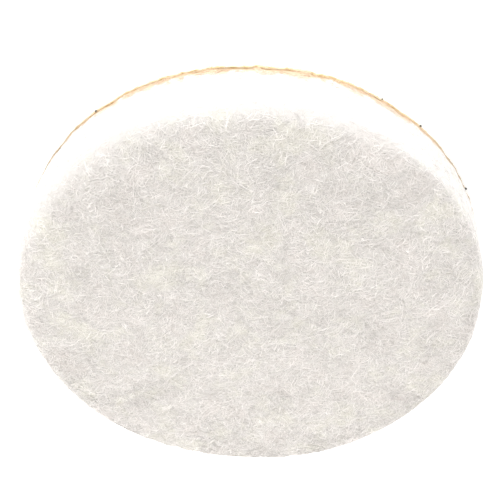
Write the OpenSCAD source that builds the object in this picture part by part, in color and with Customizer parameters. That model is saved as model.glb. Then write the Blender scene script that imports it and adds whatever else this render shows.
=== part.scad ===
// Felt polishing wheel: a pressed wool disc that a film of contact adhesive bonds to
// a loop cloth, which sticks to the hook face of a backing pad.
// The wheel lies on its loops. Z is its axis, and the origin is where the axis meets
// the plane that the loops press against.

/* [Wool felt] */
// Diameter of the felt disc, which is the wheel's nominal size
felt_d = 80; // [40:1:180]
// Thickness of the pressed wool
felt_h = 12; // [4:0.5:30]
// Rounding where the working face turns into the wall
face_edge_r = 1.5; // [0.4:0.1:3]

/* [Contact adhesive] */
// Thickness of the film between the felt and the cloth
glue_t = 0.4; // [0.2:0.05:1]
// How far the squeezed-out bead stands proud of the felt's wall
bead_proud = 0.25; // [0.1:0.05:0.6]

/* [Loop cloth] */
// How far the cloth's cut edge stops short of the felt's wall
cloth_inset = 1.5; // [0:0.1:4]
// Thickness of the knitted ground
cloth_t = 0.5; // [0.3:0.05:1.5]
// Height that the fastening loops stand from the ground
loop_h = 1.1; // [0.5:0.1:3]
// Width of the bare, heat-sealed selvedge outside the loops
selvedge = 0.5; // [0.2:0.1:2]

/* [Hidden] */
$fn = 180;

felt_r = felt_d / 2;
cloth_r = felt_r - cloth_inset;
loops_r = cloth_r - selvedge;

// The layers from the floor up, each seated on the one before
loops_z = 0;
cloth_z = loops_z + loop_h;
glue_z = cloth_z + cloth_t;
felt_z = glue_z + glue_t;

// Half section of a disc whose upper rim is rounded
module rounded_top_section(r, h, edge_r) {
    square([r - edge_r, h]);
    square([r, h - edge_r]);
    translate([r - edge_r, h - edge_r]) circle(r = edge_r);
}

// Half section of a disc whose rim is a full round
module full_round_section(r, h) {
    square([r - h / 2, h]);
    translate([r - h / 2, h / 2]) circle(d = h);
}

// The working face is the flat on top; the wall is knife cut, square to the back
module felt_disc() {
    color("ivory")
        translate([0, 0, felt_z])
            rotate_extrude() rounded_top_section(felt_r, felt_h, face_edge_r);
}

// The film covers the felt's whole back, and its bead shows all round the rim
module contact_adhesive() {
    color("goldenrod")
        translate([0, 0, glue_z])
            rotate_extrude() full_round_section(felt_r + bead_proud, glue_t);
}

module backing_cloth() {
    color("whitesmoke")
        translate([0, 0, cloth_z])
            cylinder(r = cloth_r, h = cloth_t);
}

// The pile as one soft solid, with the height and spread of its loops
module fastening_loops() {
    color("white")
        translate([0, 0, loops_z])
            cylinder(r = loops_r, h = loop_h);
}

felt_disc();
contact_adhesive();
backing_cloth();
fastening_loops();
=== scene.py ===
import math

import bmesh
import bpy
import numpy as np
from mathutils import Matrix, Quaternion, Vector, noise
from mathutils.bvhtree import BVHTree


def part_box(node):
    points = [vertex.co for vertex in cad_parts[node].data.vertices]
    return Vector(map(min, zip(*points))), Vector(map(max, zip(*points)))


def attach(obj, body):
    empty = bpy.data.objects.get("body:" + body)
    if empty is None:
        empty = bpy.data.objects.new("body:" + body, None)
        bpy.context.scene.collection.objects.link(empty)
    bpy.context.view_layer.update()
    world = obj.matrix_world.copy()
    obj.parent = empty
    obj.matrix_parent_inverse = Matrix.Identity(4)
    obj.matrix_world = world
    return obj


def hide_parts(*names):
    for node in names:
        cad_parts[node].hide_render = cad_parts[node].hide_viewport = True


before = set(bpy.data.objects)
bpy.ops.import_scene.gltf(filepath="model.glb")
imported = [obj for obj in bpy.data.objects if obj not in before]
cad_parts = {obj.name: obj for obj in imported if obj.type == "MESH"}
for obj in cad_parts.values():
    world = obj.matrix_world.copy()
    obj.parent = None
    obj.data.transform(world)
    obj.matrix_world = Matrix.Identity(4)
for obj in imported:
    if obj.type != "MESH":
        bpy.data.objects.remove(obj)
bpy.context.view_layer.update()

# Felt polishing wheel, lying on its fastening loops with the working face up.
# Units are metres. Z is the wheel's axis.

MM = 0.001
BODY = "root"

felt_low, felt_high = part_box("felt_disc")
glue_low, glue_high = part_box("contact_adhesive")
cloth_low, cloth_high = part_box("backing_cloth")
loops_low, loops_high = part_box("fastening_loops")

felt_r = felt_high.x
felt_h = felt_high.z - felt_low.z
glue_r = glue_high.x
glue_t = glue_high.z - glue_low.z
cloth_r = cloth_high.x
cloth_t = cloth_high.z - cloth_low.z
loops_r = loops_high.x
loop_h = loops_high.z - loops_low.z


# ---------------------------------------------------------------- camera and studio

CAMERA_LENS = 100
CAMERA_REACH = 247.6 * MM
CAMERA_LEAN = math.radians(38.9)
CAMERA_ROLL = math.radians(181.9)
CAMERA_AIM = Vector((0.2, -1.24, 1.0)) * MM

COOL = (0.985, 0.99, 1.0)
WARM = (1.0, 0.985, 0.965)

# name, place, width, height, watts and colour of each soft light
SOFT_LIGHTS = (
    ("key_softbox", (0.34, -0.60, 0.13), 0.50, 0.22, 5.1, COOL),
    ("side_softbox", (-0.50, -0.42, 0.12), 0.50, 0.22, 2.7, COOL),
    ("overhead_softbox", (0.05, 0.32, 0.80), 0.80, 0.80, 5.4, WARM),
    ("rear_softbox", (0.17, 0.39, 0.28), 0.40, 0.30, 1.8, WARM),
)
SKY_STRENGTH = 0.45


def place_camera():
    """Looks down at the near side of the wheel, which is at the top of the frame."""
    back = Vector((0, -math.sin(CAMERA_LEAN), math.cos(CAMERA_LEAN)))
    data = bpy.data.cameras.new("product_camera")
    data.lens = CAMERA_LENS
    camera = bpy.data.objects.new("product_camera", data)
    bpy.context.scene.collection.objects.link(camera)
    camera.location = Vector((0, 0, felt_low.z)) + back * CAMERA_REACH
    turn = Quaternion((0, 0, 1), CAMERA_ROLL)
    camera.rotation_mode = "QUATERNION"
    camera.rotation_quaternion = (CAMERA_AIM - camera.location).to_track_quat("-Z", "Y") @ turn
    bpy.context.scene.camera = camera


def light_studio():
    """Four soft boxes in a pale room."""
    for name, place, width, height, watts, colour in SOFT_LIGHTS:
        data = bpy.data.lights.new(name, "AREA")
        data.shape = "RECTANGLE"
        data.size = width
        data.size_y = height
        data.energy = watts
        data.color = colour
        light = bpy.data.objects.new(name, data)
        bpy.context.scene.collection.objects.link(light)
        light.location = place
        light.rotation_euler = (-Vector(place)).to_track_quat("-Z", "Y").to_euler()
    world = bpy.data.worlds.new("studio_sky")
    bpy.context.scene.world = world
    world.use_nodes = True
    sky = world.node_tree.nodes["Background"]
    sky.inputs["Color"].default_value = (1.0, 1.0, 1.0, 1.0)
    sky.inputs["Strength"].default_value = SKY_STRENGTH
    bpy.context.scene.view_settings.view_transform = "Standard"


# ---------------------------------------------------------------- small tools


def deselect_all():
    bpy.ops.object.select_all(action="DESELECT")


def make_active(piece):
    deselect_all()
    piece.select_set(True)
    bpy.context.view_layer.objects.active = piece


def name_new(name):
    """Names the primitive that was just added, and sets its place into its mesh."""
    piece = bpy.context.active_object
    piece.name = name
    piece.data.name = name
    make_active(piece)
    bpy.ops.object.transform_apply(location=True, rotation=True, scale=True)
    return piece


def select_edges(piece, wanted):
    """In edit mode, selects just the edges whose two ends both pass the test."""
    bpy.ops.mesh.select_mode(type="EDGE")
    bpy.ops.mesh.select_all(action="DESELECT")
    shape = bmesh.from_edit_mesh(piece.data)
    for edge in shape.edges:
        if all(wanted(corner.co) for corner in edge.verts):
            edge.select_set(True)
    bmesh.update_edit_mesh(piece.data)


def apply_modifier(piece, kind, **settings):
    make_active(piece)
    modifier = piece.modifiers.new(kind.lower(), kind)
    for key, value in settings.items():
        setattr(modifier, key, value)
    bpy.ops.object.modifier_apply(modifier=modifier.name)


def places_of(mesh):
    found = np.empty(len(mesh.vertices) * 3, np.float32)
    mesh.vertices.foreach_get("co", found)
    return found.reshape(-1, 3).astype(float)


def set_places(mesh, places):
    mesh.vertices.foreach_set("co", places.astype(np.float32).ravel())
    mesh.update()


def smooth(piece):
    make_active(piece)
    bpy.ops.object.shade_smooth()


def finish_piece(piece, slot, material, *nodes):
    """Gives a piece its material, sets it on the body, and hides the plain solids that it stands for; the
    slot is not used.
    """
    piece.data.materials.clear()
    piece.data.materials.append(material)
    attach(piece, BODY)
    if nodes:
        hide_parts(*nodes)


# ---------------------------------------------------------------- materials


class Graph:
    """A material's node tree, with one call to add a node and set its inputs."""

    def __init__(self, name):
        self.material = bpy.data.materials.new(name)
        self.material.use_nodes = True
        self.tree = self.material.node_tree
        self.shader = self.tree.nodes["Principled BSDF"]

    def add(self, kind, inputs=(), **settings):
        made = self.tree.nodes.new("ShaderNode" + kind)
        for key, value in settings.items():
            setattr(made, key, value)
        for key, value in dict(inputs).items():
            self.feed(made.inputs[key], value)
        return made

    def feed(self, socket, value):
        if isinstance(value, bpy.types.NodeSocket):
            self.tree.links.new(value, socket)
        else:
            socket.default_value = value

    def place(self):
        return self.add("TexCoord").outputs["Object"]

    def noise(self, size, detail=3.0, roughness=0.5, distortion=0.0, place=None):
        """Noise whose lumps are about size across."""
        inputs = {
            "Vector": place or self.place(),
            "Scale": 1.0 / size,
            "Detail": detail,
            "Roughness": roughness,
            "Distortion": distortion,
        }
        return self.add("TexNoise", inputs).outputs["Fac"]

    def ramp(self, value, *stops):
        made = self.add("ValToRGB", {"Fac": value})
        points = made.color_ramp.elements
        while len(points) < len(stops):
            points.new(0.5)
        for point, (at, colour) in zip(points, stops):
            point.position = at
            point.color = (*colour, 1.0)
        return made.outputs["Color"]

    def mix(self, share, low, high):
        made = self.add("Mix", data_type="RGBA")
        self.feed(made.inputs[0], share)
        self.feed(made.inputs[6], low)
        self.feed(made.inputs[7], high)
        return made.outputs[2]

    def maths(self, operation, first, second):
        made = self.add("Math", operation=operation)
        self.feed(made.inputs[0], first)
        self.feed(made.inputs[1], second)
        return made.outputs[0]

    def span(self, value, low, high, to_low=0.0, to_high=1.0):
        inputs = {
            "Value": value,
            "From Min": low,
            "From Max": high,
            "To Min": to_low,
            "To Max": to_high,
        }
        return self.add("MapRange", inputs).outputs["Result"]

    def bump(self, height, distance, strength=1.0):
        inputs = {"Height": height, "Distance": distance, "Strength": strength}
        self.feed(self.shader.inputs["Normal"], self.add("Bump", inputs).outputs["Normal"])

    def set(self, **inputs):
        for key, value in inputs.items():
            self.feed(self.shader.inputs[key.replace("_", " ")], value)


# how far the adhesive can soak up the wall at the two sides, and at the near and far side
STAIN_LEAST = 0.6 * MM
STAIN_MOST = 4.0 * MM

WOOL_GREY = (0.635, 0.610, 0.585)
WOOL_CREAM = (0.690, 0.668, 0.608)
WOOL_ROSE = (0.668, 0.631, 0.602)
WOOL_WHITE = (0.952, 0.919, 0.894)
# painted shade: the colour of the low spots in the wool's grain
WOOL_PIT_SHADE = (0.200, 0.190, 0.170)
AMBER = (0.820, 0.640, 0.375)
AMBER_DARK = (0.570, 0.410, 0.230)
AMBER_PALE = (0.920, 0.780, 0.560)
AMBER_STAIN = (0.620, 0.435, 0.270)
AMBER_LIGHT = (0.940, 0.850, 0.690)
# painted shade: the adhesive's colour at the two sides of the wheel
AMBER_SIDE_SHADE = (0.520, 0.440, 0.350)


def wool_tint(graph):
    """Slow drifts between cream, grey and rose, as the raw wool was blended."""
    broad = graph.noise(6 * MM, detail=5.0, roughness=0.65)
    return graph.ramp(broad, (0.36, WOOL_CREAM), (0.50, WOOL_GREY), (0.64, WOOL_ROSE))


def amber_creep(graph, colour):
    """Adhesive that soaked up the felt from its back, with a ragged upper edge."""
    place = graph.add("SeparateXYZ", {"Vector": graph.place()}).outputs
    height = place["Z"]
    sideways = graph.maths("ABSOLUTE", place["Y"], 0.0)
    most = graph.span(sideways, 0.4 * felt_r, felt_r, STAIN_LEAST, STAIN_MOST)
    reach = graph.span(graph.noise(2.5 * MM, detail=5.0, roughness=0.7), 0.25, 0.55)
    reach = graph.maths("MAXIMUM", graph.maths("MULTIPLY", reach, most), 0.02 * MM)
    above = graph.maths("SUBTRACT", height, felt_low.z)
    share = graph.maths("SUBTRACT", 1.0, graph.maths("DIVIDE", above, reach))
    share = graph.span(share, 0.0, 0.6, 0.0, 0.85)
    return graph.mix(share, colour, (*AMBER_STAIN, 1.0))


def pressed_wool():
    """The felt between the strands, with painted shade as small dark pits in the low spots of its grain,
    faint where it is buffed, so that the worn edge and the wall come out lighter, partly as wear and
    partly as a painted highlight.
    """
    graph = Graph("pressed_wool")
    tint = wool_tint(graph)
    grain = graph.noise(0.25 * MM, detail=5.0, roughness=0.7, distortion=1.5)
    worn = graph.add("Attribute", attribute_name="buffed").outputs["Fac"]
    # the painted pit shade is weaker where the wool is buffed, which lightens the worn edge and the wall
    depth = graph.span(worn, 0.0, 1.0, 0.6, 0.25)
    dark = graph.mix(depth, tint, (*WOOL_PIT_SHADE, 1.0))
    colour = graph.mix(graph.span(grain, 0.38, 0.5), dark, tint)
    graph.set(Base_Color=amber_creep(graph, colour), Roughness=0.92, Sheen_Weight=0.12)
    graph.set(Sheen_Roughness=0.5, Specular_IOR_Level=0.25)
    graph.bump(grain, 0.12 * MM)
    return graph.material


def wool_fibre():
    """A single fibre, from the tint of the wool about it to nearly white by its own tone."""
    graph = Graph("wool_fibre")
    tone = graph.add("Attribute", attribute_name="fibre_tone").outputs["Fac"]
    colour = graph.mix(tone, wool_tint(graph), (*WOOL_WHITE, 1.0))
    colour = amber_creep(graph, colour)
    graph.set(Base_Color=colour, Roughness=0.78, Sheen_Weight=0.15, Sheen_Roughness=0.45)
    graph.set(Specular_IOR_Level=0.3)
    return graph.material


def amber_adhesive():
    """Dried contact cement, which is thin at the two sides of the wheel, with painted shade that turns it
    a darker, greyer brown there.
    """
    graph = Graph("amber_adhesive")
    drift = graph.noise(1.1 * MM, detail=4.0, roughness=0.6)
    colour = graph.ramp(drift, (0.30, AMBER_DARK), (0.42, AMBER), (0.54, AMBER_PALE), (0.70, AMBER_LIGHT))
    place = graph.add("SeparateXYZ", {"Vector": graph.place()}).outputs
    sideways = graph.maths("ABSOLUTE", place["Y"], 0.0)
    # painted shade, strongest at the two sides of the wheel
    side_shade = graph.span(sideways, 0.55 * felt_r, 0.8 * felt_r, 0.7, 0.0)
    colour = graph.mix(side_shade, colour, (*AMBER_SIDE_SHADE, 1.0))
    graph.set(Base_Color=colour, Roughness=0.38, Specular_IOR_Level=0.5, Coat_Weight=0.2)
    graph.bump(graph.noise(0.4 * MM, detail=4.0), 0.08 * MM)
    return graph.material


def dark_grit():
    """Near-black grains, slightly mottled."""
    graph = Graph("dark_grit")
    speckle = graph.noise(0.12 * MM, detail=3.0)
    colour = graph.ramp(speckle, (0.35, (0.012, 0.014, 0.013)), (0.7, (0.060, 0.064, 0.058)))
    graph.set(Base_Color=colour, Roughness=0.6)
    graph.bump(speckle, 0.04 * MM)
    return graph.material


def knitted_ground():
    """White nylon yarn, a little darker in small patches."""
    graph = Graph("knitted_ground")
    yarn = graph.noise(0.5 * MM, detail=5.0, roughness=0.65)
    colour = graph.ramp(yarn, (0.3, (0.70, 0.69, 0.67)), (0.7, (0.86, 0.86, 0.84)))
    graph.set(Base_Color=colour, Roughness=0.7, Sheen_Weight=0.2, Sheen_Roughness=0.4)
    graph.bump(yarn, 0.08 * MM)
    return graph.material


def loop_pile():
    """Brushed nylon monofilament, slightly glossy."""
    graph = Graph("loop_pile")
    tone = graph.add("Attribute", attribute_name="fibre_tone").outputs["Fac"]
    drift = graph.noise(6 * MM, detail=3.0)
    shade = graph.ramp(drift, (0.35, (0.72, 0.72, 0.71)), (0.65, (0.80, 0.80, 0.78)))
    colour = graph.mix(tone, shade, (0.93, 0.93, 0.92, 1.0))
    graph.set(Base_Color=colour, Roughness=0.42, Sheen_Weight=0.1, Specular_IOR_Level=0.5)
    return graph.material


def floor_paper():
    """Plain white paper that glows a little, so that it stays pale under soft light."""
    graph = Graph("floor_paper")
    tooth = graph.noise(1.5 * MM, detail=3.0)
    colour = graph.ramp(tooth, (0.3, (0.93, 0.93, 0.93)), (0.7, (0.95, 0.95, 0.95)))
    graph.set(Base_Color=colour, Roughness=0.9, Specular_IOR_Level=0.1)
    graph.set(Emission_Color=(1.0, 1.0, 1.0, 1.0), Emission_Strength=0.3)
    return graph.material


# ---------------------------------------------------------------- felt

# the cloth simulation: its mesh size, the height of the band that the adhesive holds, its
# pressure and steps, and how far the wool may swell
SWELL_VOXEL = 1.0 * MM
SWELL_HELD = 0.8 * MM
SWELL_PRESSURE = 4
SWELL_STEPS = 20
FELT_SWELL = 0.3 * MM

# the finished felt: its mesh size, the rounding of its edge and the slope worn beside it
FELT_VOXEL = 0.45 * MM
EDGE_ROUND = 1.2 * MM
CROWN_WIDTH = 3.6 * MM
CROWN_DEPTH = 1.3 * MM
CROWN_FALL = 2.0

# degrees round the wheel: the middle of the worn stretch, then how far off it the wear starts
# to fade and how far off it is least, first on the side of growing angles
WEAR_MIDDLE = -85
WEAR_AHEAD = (43, 89)
WEAR_BEHIND = (31, 51)
# the share of wear on the rest of the wheel
WEAR_LEAST = 0.1

# a shallow flat on the wall: its depth, and its middle and spread in degrees
FLAT_SPOT = 0.4 * MM
FLAT_SPOT_MIDDLE = 80
FLAT_SPOT_SPREAD = 24


def ease(share):
    """Smooth step from 0 to 1."""
    share = min(max(share, 0), 1)
    return share * share * (3 - 2 * share)


def degrees_from(angle, middle):
    """How many degrees an angle in radians lies past a middle in degrees."""
    return math.degrees(math.remainder(angle - math.radians(middle), math.tau))


def wear(angle):
    """Share of wear on the face's edge: full on the -Y side, next to none elsewhere."""
    turn = degrees_from(angle, WEAR_MIDDLE)
    full, none = WEAR_AHEAD if turn > 0 else WEAR_BEHIND
    return WEAR_LEAST + (1 - WEAR_LEAST) * ease((none - abs(turn)) / (none - full))


def crown_wear(x, y):
    """How worn the face's edge is here, from 0 on the rough wool to 0.9 at its worst."""
    inward = felt_r - math.hypot(x, y)
    return (wear(math.atan2(y, x)) - WEAR_LEAST) * ease(1.3 * (1 - inward / CROWN_WIDTH))


def buffed(x, y):
    """How smooth the wool is: most near the worn edge and down the cut wall, rough elsewhere."""
    inward = felt_r - math.hypot(x, y)
    return max(crown_wear(x, y), 0.9 * ease(1 - inward / (1.0 * MM)))


def swell_felt(felt):
    """A short cloth simulation lets the face rise by a fraction of a millimetre."""
    apply_modifier(felt, "REMESH", mode="VOXEL", voxel_size=SWELL_VOXEL)
    start = places_of(felt.data)
    back = felt.vertex_groups.new(name="glued_back")
    glued = np.flatnonzero(start[:, 2] < felt_low.z + SWELL_HELD)
    back.add(glued.tolist(), 1.0, "REPLACE")
    cloth = felt.modifiers.new("relax", "CLOTH")
    cloth.settings.vertex_group_mass = back.name
    cloth.settings.use_pressure = True
    cloth.settings.uniform_pressure_force = SWELL_PRESSURE
    cloth.settings.effector_weights.gravity = 0
    for step in range(1, SWELL_STEPS + 1):
        bpy.context.scene.frame_set(step)
    relaxed = felt.evaluated_get(bpy.context.evaluated_depsgraph_get())
    moved = places_of(relaxed.data) - start
    felt.modifiers.remove(cloth)
    bpy.context.scene.frame_set(1)
    size = np.linalg.norm(moved, axis=1, keepdims=True)
    cap = FELT_SWELL * np.tanh(size / FELT_SWELL) / np.maximum(size, 1e-9)
    set_places(felt.data, start + moved * cap)
    felt.vertex_groups.clear()


def round_over(felt):
    """Trues the wall to the felt's radius, slopes and rounds the face's edge by its wear, and
    gives the wall its flat."""
    places = places_of(felt.data)
    halfway = abs(places[:, 2] - (felt_low.z + felt_high.z) / 2) < 1 * MM
    wall = np.percentile(np.hypot(places[halfway, 0], places[halfway, 1]), 60)
    places[:, :2] *= felt_r / wall
    top = places[:, 2].max()
    for spot in places:
        angle = math.atan2(spot[1], spot[0])
        reach = math.hypot(spot[0], spot[1])
        worn = wear(angle)
        crown = CROWN_WIDTH * worn
        edge = EDGE_ROUND * (0.6 + worn)
        lift = (spot[2] - felt_low.z) / (top - felt_low.z)
        fall = max(reach - felt_r + crown, 0) / crown
        spot[2] -= CROWN_DEPTH * worn * fall**CROWN_FALL * max(lift, 0) ** 3
        rim = top - CROWN_DEPTH * worn * ((crown - edge) / crown) ** CROWN_FALL
        out = (reach - felt_r) / edge + 1
        up = (spot[2] - rim) / edge + 1
        far = math.hypot(out, up)
        if out > 0 and up > 0 and far > 1:
            reach += out * (1 / far - 1) * edge
            spot[2] += up * (1 / far - 1) * edge
        off = degrees_from(angle, FLAT_SPOT_MIDDLE) / FLAT_SPOT_SPREAD
        reach *= 1 - FLAT_SPOT / felt_r * math.exp(-(off**2))
        spot[0] = reach * math.cos(angle)
        spot[1] = reach * math.sin(angle)
    set_places(felt.data, places)


def surface_of(felt):
    """The felt's surface, which the fibres and the bead are laid against."""
    shape = bmesh.new()
    shape.from_mesh(felt.data)
    tree = BVHTree.FromBMesh(shape)
    shape.free()
    return tree


def clouds(name, size, depth):
    texture = bpy.data.textures.new(name, "CLOUDS")
    texture.noise_scale = size
    texture.noise_depth = depth
    return texture


def make_felt(wool):
    """The pressed wool pad as one body, with a few sizes of lump in its surface."""
    deselect_all()
    depth = felt_h - FELT_SWELL
    bpy.ops.mesh.primitive_cylinder_add(
        vertices=240, radius=felt_r, depth=depth, location=(0, 0, felt_low.z + depth / 2)
    )
    felt = name_new("felt_body")
    swell_felt(felt)
    apply_modifier(felt, "REMESH", mode="VOXEL", voxel_size=FELT_VOXEL)
    round_over(felt)
    for name, size, depth, strength in (
        ("wool_drift", 11 * MM, 1, 0.40 * MM),
        ("wool_lumps", 2.4 * MM, 2, 0.10 * MM),
        ("wool_grain", 0.9 * MM, 2, 0.08 * MM),
    ):
        texture = clouds(name, size, depth)
        apply_modifier(
            felt, "DISPLACE", texture=texture, texture_coords="LOCAL", strength=strength, mid_level=0.5
        )
    # the share that weakens the painted pit shade near the worn edge and down the wall
    shares = [buffed(x, y) for x, y, z in places_of(felt.data)]
    felt.data.attributes.new("buffed", "FLOAT", "POINT").data.foreach_set("value", shares)
    smooth(felt)
    finish_piece(felt, "wool_felt", wool, "felt_disc")
    return felt


# ---------------------------------------------------------------- strands

STRAND_SIDES = 3


def strand_section():
    """A triangle of unit size, the section that every fine strand is drawn with."""
    curve = bpy.data.curves.new("strand_section", "CURVE")
    line = curve.splines.new("POLY")
    line.points.add(STRAND_SIDES - 1)
    for number, point in enumerate(line.points):
        turn = -math.tau * number / STRAND_SIDES
        point.co = (math.cos(turn), math.sin(turn), 0, 1)
    line.use_cyclic_u = True
    section = bpy.data.objects.new("strand_section", curve)
    bpy.context.scene.collection.objects.link(section)
    return section


def draw_strands(name, lines, radii, tones):
    """One mesh piece of thin capped strands, each thinner at its ends.

    lines is strands x points x 3, with one radius and one tone for each strand.
    """
    open_out = np.linalg.norm(np.diff(lines, axis=1), axis=2).min(1) > 0.01 * MM
    lines, radii, tones = lines[open_out], radii[open_out], tones[open_out]
    section = strand_section()
    curve = bpy.data.curves.new(name, "CURVE")
    curve.dimensions = "3D"
    curve.bevel_mode = "OBJECT"
    curve.bevel_object = section
    curve.use_fill_caps = True
    ends = np.linspace(-1, 1, lines.shape[1])
    taper = 0.35 + 0.65 * np.sqrt(1 - ends**2 * 0.999)
    for line, radius in zip(lines, radii):
        spline = curve.splines.new("POLY")
        spline.points.add(len(line) - 1)
        spline.points.foreach_set("co", np.c_[line, np.ones(len(line))].ravel())
        spline.points.foreach_set("radius", radius * taper)
    piece = bpy.data.objects.new(name, curve)
    bpy.context.scene.collection.objects.link(piece)
    make_active(piece)
    bpy.ops.object.convert(target="MESH")
    piece = bpy.context.active_object
    bpy.data.objects.remove(section)
    mesh = piece.data
    tone = mesh.attributes.new("fibre_tone", "FLOAT", "POINT")
    tone.data.foreach_set("value", np.repeat(tones, len(mesh.vertices) // len(lines)).astype(np.float32))
    map_strands(mesh, len(lines))
    smooth(piece)
    return piece


def map_strands(mesh, count):
    """Gives each strand its own small cell on the piece's map, so that colours stay apart."""
    while mesh.uv_layers:
        mesh.uv_layers.remove(mesh.uv_layers[0])
    side = math.ceil(math.sqrt(count))
    corner = np.empty(len(mesh.loops), np.int32)
    mesh.loops.foreach_get("vertex_index", corner)
    each = len(mesh.vertices) // count
    strand, within = np.divmod(corner, each)
    ring, turn = np.divmod(within, STRAND_SIDES)
    along = 0.1 + 0.8 * ring / (each / STRAND_SIDES - 1)
    across = 0.1 + 0.8 * turn / (STRAND_SIDES - 1)
    row, column = np.divmod(strand, side)
    places = np.stack([(column + along) / side, (row + across) / side], 1)
    layer = mesh.uv_layers.new(name="OFBake")
    layer.uv.foreach_set("vector", places.astype(np.float32).ravel())


def wander(dice, length, points, curl, wobble, heading):
    """Flat curling paths that are centred on zero, as strands x points x 2.

    curl is the tightest bend in radians a metre, and wobble is the spread of the turns.
    """
    count = len(length)
    steps = points - 1
    stride = length[:, None] / steps
    bend = dice.uniform(-curl, curl, (count, 1)) * stride
    turns = np.cumsum(bend + dice.normal(0, wobble, (count, steps)), 1)
    headings = heading[:, None] + turns
    moves = np.stack([np.cos(headings), np.sin(headings)], 2) * stride[:, :, None]
    paths = np.concatenate([np.zeros((count, 1, 2)), np.cumsum(moves, 1)], 1)
    return paths - paths.mean(1, keepdims=True)


def drift_heading(spots, size):
    """A heading that changes slowly over the felt, so that neighbours lie roughly together."""
    return np.array([math.tau * noise.noise(Vector((x, y, 0.37)) / size) for x, y in spots])


def onto_face(paths):
    """Takes flat paths over the face, round its edge and down the wall."""
    reach = np.hypot(paths[..., 0], paths[..., 1])
    angle = np.arctan2(paths[..., 1], paths[..., 0])
    inside = np.minimum(reach, felt_r)
    drop = np.maximum(reach - felt_r, 0)
    return np.stack([inside * np.cos(angle), inside * np.sin(angle), felt_high.z - drop], 2)


def onto_wall(paths):
    """Takes paths of distance round the wall and height up it to the wall."""
    angle = paths[..., 0] / felt_r
    height = np.clip(paths[..., 1], felt_low.z + 0.1 * MM, felt_high.z)
    return np.stack([felt_r * np.cos(angle), felt_r * np.sin(angle), height], 2)


def lay_on(tree, lines, lift):
    """Moves each point to the nearest place on the felt, then lifts it off by its own height."""
    laid = np.empty_like(lines)
    for index in np.ndindex(lines.shape[:2]):
        spot, normal, _, _ = tree.find_nearest(Vector(lines[index]))
        laid[index] = spot + normal * lift[index]
    return laid


def lifts(dice, count, points, highest):
    """Heights along each strand: it leaves the felt, crosses over others and goes back in."""
    sunk = 0.08 * MM
    arch = 1 - np.abs(np.linspace(-1, 1, points)) ** 2.5
    crest = dice.uniform(0, highest, (count, 1))
    return -sunk + (crest + sunk) * arch + dice.normal(0, 0.02 * MM, (count, points))


def spots_on_face(dice, count):
    reach = (felt_r + 0.3 * MM) * np.sqrt(dice.uniform(0, 1, count))
    angle = dice.uniform(0, math.tau, count)
    return np.stack([reach * np.cos(angle), reach * np.sin(angle)], 1)


def patchy(dice, spots, low, high):
    """Random tones from low to high, which are lighter or darker together in patches."""
    patch = np.array([noise.fractal(Vector((x, y, 0.2)) / (3.2 * MM), 0.8, 2.0, 3) for x, y in spots])
    return np.clip(dice.uniform(low, high, len(spots)) + 0.30 * patch, 0, 1)


def unworn(dice, spots):
    """Which strands are left: all of them on the rough wool, and few where it is worn or cut."""
    worn = np.array([max(crown_wear(x, y), 0.7 * buffed(x, y)) for x, y in spots])
    return worn < dice.uniform(0.15, 1.0, len(spots))


def make_face_fibres(number, tree, material):
    """A quarter of the short curled fibres that are matted over the face."""
    dice = np.random.default_rng(100 + number)
    count, points = 7600, 5
    spots = spots_on_face(dice, count)
    heading = drift_heading(spots, 9 * MM) + dice.normal(0, 0.8, count)
    length = dice.uniform(1.1, 3.2, count) * MM
    paths = wander(dice, length, points, curl=450, wobble=0.22, heading=heading) + spots[:, None]
    smoothed = np.array([buffed(x, y) for x, y in spots])
    height = lifts(dice, count, points, highest=0.14 * MM) * (1 - 0.7 * smoothed[:, None])
    lines = lay_on(tree, onto_face(paths), height)
    radii = dice.uniform(0.030, 0.055, count) * MM
    tones = patchy(dice, spots, low=0.05, high=0.97)
    rim = np.clip((np.hypot(spots[:, 0], spots[:, 1]) - felt_r) / (1.5 * MM) + 1, 0, 1)
    tones += (0.40 - tones) * 0.8 * np.maximum(smoothed, rim)
    kept = unworn(dice, spots)
    piece = draw_strands(f"face_fibres_{number}", lines[kept], radii[kept], tones[kept])
    finish_piece(piece, "wool_felt", material)


def make_wisps(tree, material):
    """Locks of a few long hairs that were teased out of the face and lie loose over it."""
    dice = np.random.default_rng(150)
    locks, hairs, points = 110, 6, 11
    spots = spots_on_face(dice, locks) * 0.92
    length = dice.uniform(3.0, 8.0, locks) * MM
    heading = dice.uniform(0, math.tau, locks)
    paths = wander(dice, length, points, curl=300, wobble=0.20, heading=heading) + spots[:, None]
    paths = np.repeat(paths, hairs, 0)
    count = locks * hairs
    paths += dice.normal(0, 0.30 * MM, (count, 1, 2))
    paths += np.cumsum(dice.normal(0, 0.10 * MM, paths.shape), 1)
    lines = lay_on(tree, onto_face(paths), lifts(dice, count, points, highest=0.20 * MM))
    radii = dice.uniform(0.025, 0.045, count) * MM
    piece = draw_strands("face_wisps", lines, radii, dice.uniform(0.4, 0.95, count))
    finish_piece(piece, "wool_felt", material)


def make_wall_fibres(number, tree, material):
    """Short fibres that lie close to the cut wall, mostly along it."""
    dice = np.random.default_rng(200 + number)
    count, points = 7600, 5
    around = dice.uniform(0, math.tau, count) * felt_r
    height = dice.uniform(felt_low.z, felt_high.z - 0.5 * MM, count)
    spots = np.stack([around, height], 1)
    length = dice.uniform(1.0, 3.0, count) * MM
    heading = dice.normal(0, 0.5, count)
    paths = wander(dice, length, points, curl=350, wobble=0.2, heading=heading) + spots[:, None]
    lines = lay_on(tree, onto_wall(paths), lifts(dice, count, points, highest=0.06 * MM))
    radii = dice.uniform(0.03, 0.05, count) * MM
    tones = dice.uniform(0.5, 0.9, count)
    near_crown = height > felt_high.z - CROWN_DEPTH - EDGE_ROUND
    kept = unworn(dice, lines[:, 2, :2]) | ~near_crown
    piece = draw_strands(f"wall_fibres_{number}", lines[kept], radii[kept], tones[kept])
    finish_piece(piece, "wool_felt", material)


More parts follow.
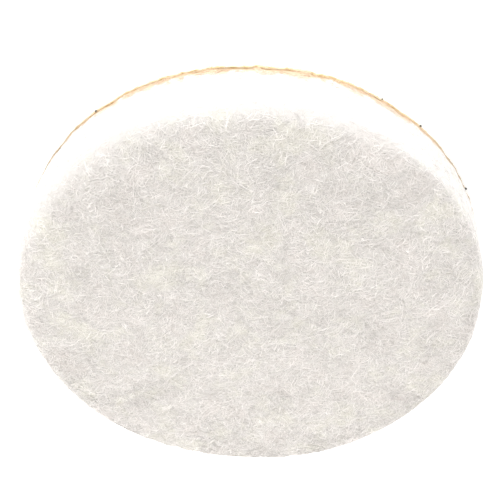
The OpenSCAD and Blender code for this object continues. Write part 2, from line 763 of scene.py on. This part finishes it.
# ---------------------------------------------------------------- adhesive

# how far the bead stands beyond the felt where the least and the most adhesive came out
BEAD_LEAST = 0.09 * MM
BEAD_MOST = 0.14 * MM

# the height at which the felt's wall is measured, just above the bead
MEASURED_AT = felt_low.z + 0.8 * MM


def squeezed_out(angle):
    """Share of the adhesive that came out under the press, least at the two sides."""
    return 0.12 + 0.88 * abs(math.sin(angle)) ** 3


def wall_reach(tree, angle):
    """How far out the felt's wall really is at this angle."""
    outward = Vector((math.cos(angle), math.sin(angle), 0))
    start = outward * (felt_r + 3 * MM) + Vector((0, 0, MEASURED_AT))
    spot, _, _, _ = tree.ray_cast(start, -outward)
    return spot.xy.length


def make_glue_film(tree, material):
    """A round film whose rim follows the felt's own wall and is thicker where more came out."""
    deselect_all()
    middle = (glue_low.z + glue_high.z) / 2
    bpy.ops.mesh.primitive_cylinder_add(
        vertices=1080, radius=glue_r, depth=glue_t, location=(0, 0, middle)
    )
    film = name_new("glue_film")
    bpy.ops.object.mode_set(mode="EDIT")
    select_edges(film, lambda co: math.hypot(co.x, co.y) > glue_r - 0.1 * MM)
    bpy.ops.mesh.bevel(offset=0.45 * glue_t, segments=3)
    bpy.ops.object.mode_set(mode="OBJECT")
    places = places_of(film.data)
    for spot in places:
        angle = math.atan2(spot[1], spot[0])
        reach = math.hypot(spot[0], spot[1])
        where = Vector(spot) / reach * felt_r
        share = squeezed_out(angle)
        ragged = noise.fractal(where / (0.8 * MM), 0.7, 2.2, 4)
        thick = 0.26 + 0.46 * share * (1 + 0.8 * noise.noise(where / (3 * MM)) + 0.6 * ragged)
        proud = BEAD_LEAST + (BEAD_MOST - BEAD_LEAST) * share + 0.10 * MM * ragged
        spot[:2] *= (reach - glue_r + wall_reach(tree, angle) + proud) / reach
        spot[2] = glue_high.z + (spot[2] - glue_high.z) * max(thick, 0.1)
    set_places(film.data, places)
    smooth(film)
    finish_piece(film, "amber_adhesive", material, "contact_adhesive")


def make_glue_strings(tree, material):
    """Thin strings of adhesive that were drawn out along the rim as the wheel was cut."""
    dice = np.random.default_rng(300)
    count = 90
    centre = dice.choice([-1, 1], count) * math.pi / 2 + dice.normal(0, 0.65, count)
    length = dice.uniform(2, 14, count) * MM
    steps = np.linspace(-0.5, 0.5, 9)
    angle = centre[:, None] + steps * length[:, None] / felt_r
    height = dice.uniform(glue_high.z - 0.15 * MM, glue_high.z + 0.5 * MM, (count, 1))
    height = height + dice.normal(0, 0.06 * MM, angle.shape)
    proud = dice.uniform(0.0, 0.1, (count, 1)) * MM + dice.normal(0, 0.04 * MM, angle.shape)
    reach = np.array([[wall_reach(tree, turn) for turn in row] for row in angle])
    reach += proud
    lines = np.stack([reach * np.cos(angle), reach * np.sin(angle), height], 2)
    radii = dice.uniform(0.02, 0.04, count) * MM
    piece = draw_strands("glue_strings", lines, radii, dice.uniform(0, 1, count))
    finish_piece(piece, "amber_adhesive", material)


# degrees round the wheel, then the height above the adhesive and the radius of each dark grain
# in millimetres
GRIT = (
    (-35.5, 0.9, 0.15),
    (-49, 0.0, 0.21),
    (-121, -0.1, 0.17),
    (-133, -0.1, 0.19),
    (-155, 0.0, 0.27),
    (24, 0.1, 0.18),
    (78, -0.1, 0.15),
    (141, 0.0, 0.20),
)


def make_grit(tree, material):
    """The dark grains, each an uneven ball pressed into the wool or the bead."""
    grains = []
    for degrees, height, size in GRIT:
        deselect_all()
        angle = math.radians(degrees)
        reach = wall_reach(tree, angle) + 0.1 * MM
        spot = (reach * math.cos(angle), reach * math.sin(angle), glue_high.z + height * MM)
        bpy.ops.mesh.primitive_ico_sphere_add(subdivisions=2, radius=size * MM, location=spot)
        grain = name_new("grain")
        places = places_of(grain.data)
        centre = np.array(spot)
        for place in places:
            place[:] = centre + (place - centre) * (1 + 0.5 * noise.noise(Vector(place) / (0.2 * MM)))
        set_places(grain.data, places)
        grains.append(grain)
    deselect_all()
    for grain in grains:
        grain.select_set(True)
    bpy.context.view_layer.objects.active = grains[0]
    bpy.ops.object.join()
    grit = name_new("cut_grit")
    finish_piece(grit, "amber_adhesive", material)


# ---------------------------------------------------------------- loop cloth

# the spacing of the knit's ribs, how far they stand out, and the cells across its mesh
WALE = 0.9 * MM
RIB_HEIGHT = 0.05 * MM
KNIT_CELLS = 180


def make_knit(material):
    """A round of knitted cloth, ribbed all over and flat at its sealed edge."""
    deselect_all()
    size = 2 * cloth_r + WALE
    bpy.ops.mesh.primitive_grid_add(
        x_subdivisions=KNIT_CELLS, y_subdivisions=KNIT_CELLS, size=size, location=(0, 0, cloth_low.z)
    )
    knit = name_new("knit_ground")
    bpy.ops.object.mode_set(mode="EDIT")
    shape = bmesh.from_edit_mesh(knit.data)
    for face in shape.faces:
        face.select_set(face.calc_center_median().xy.length > cloth_r)
    bmesh.update_edit_mesh(knit.data)
    bpy.ops.mesh.delete(type="FACE")
    shape = bmesh.from_edit_mesh(knit.data)
    for corner in shape.verts:
        if corner.is_boundary:
            corner.co.xy *= cloth_r / corner.co.xy.length
        else:
            across = math.sin(math.tau * corner.co.x / WALE)
            along = math.sin(math.tau * corner.co.y / (0.7 * WALE) + 1.5 * across)
            corner.co.z += RIB_HEIGHT * (across + 0.6 * along)
    bmesh.update_edit_mesh(knit.data)
    bpy.ops.object.mode_set(mode="OBJECT")
    apply_modifier(knit, "SOLIDIFY", thickness=cloth_t - RIB_HEIGHT, offset=1.0)
    smooth(knit)
    finish_piece(knit, "knitted_ground", material, "backing_cloth")


def make_loops(number, material):
    """Arches of monofilament that stand from the ground and lean every way."""
    dice = np.random.default_rng(500 + number)
    count = 5200
    reach = loops_r * np.sqrt(dice.uniform(0, 1, count)) - 0.3 * MM
    angle = dice.uniform(0, math.tau, count)
    swing = np.linspace(0, math.pi, 7)
    foot = dice.uniform(0.25, 0.55, (count, 1)) * MM
    tall = dice.uniform(0.75, 1.0, (count, 1)) * (loop_h - 0.08 * MM)
    heading = dice.uniform(0, math.tau, (count, 1))
    lean = dice.normal(0, 0.25 * MM, (count, 2))
    along = -foot * np.cos(swing)
    deep = np.sin(swing) ** 0.7
    x = (reach * np.cos(angle))[:, None] + along * np.cos(heading) + lean[:, :1] * deep
    y = (reach * np.sin(angle))[:, None] + along * np.sin(heading) + lean[:, 1:] * deep
    z = cloth_low.z + 0.1 * MM - (tall + 0.1 * MM) * deep
    lines = np.stack([x, y, z], 2)
    radii = dice.uniform(0.045, 0.06, count) * MM
    piece = draw_strands(f"pile_loops_{number}", lines, radii, dice.uniform(0, 1, count))
    finish_piece(piece, "loop_pile", material, "fastening_loops")


# ---------------------------------------------------------------- floor

FLOOR_SIZE = 4.0


def make_floor(material):
    deselect_all()
    bpy.ops.mesh.primitive_plane_add(size=FLOOR_SIZE, location=(0, 0, 0))
    floor = name_new("studio_floor")
    floor.data.materials.append(material)


# ---------------------------------------------------------------- build

place_camera()
light_studio()

felt = make_felt(pressed_wool())
felt_tree = surface_of(felt)

fibre = wool_fibre()
for number in (1, 2, 3, 4):
    make_face_fibres(number, felt_tree, fibre)
make_wisps(felt_tree, fibre)
for number in (1, 2):
    make_wall_fibres(number, felt_tree, fibre)

adhesive = amber_adhesive()
make_glue_film(felt_tree, adhesive)
make_glue_strings(felt_tree, adhesive)
make_grit(felt_tree, dark_grit())

make_knit(knitted_ground())
pile = loop_pile()
for number in (1, 2):
    make_loops(number, pile)

make_floor(floor_paper())
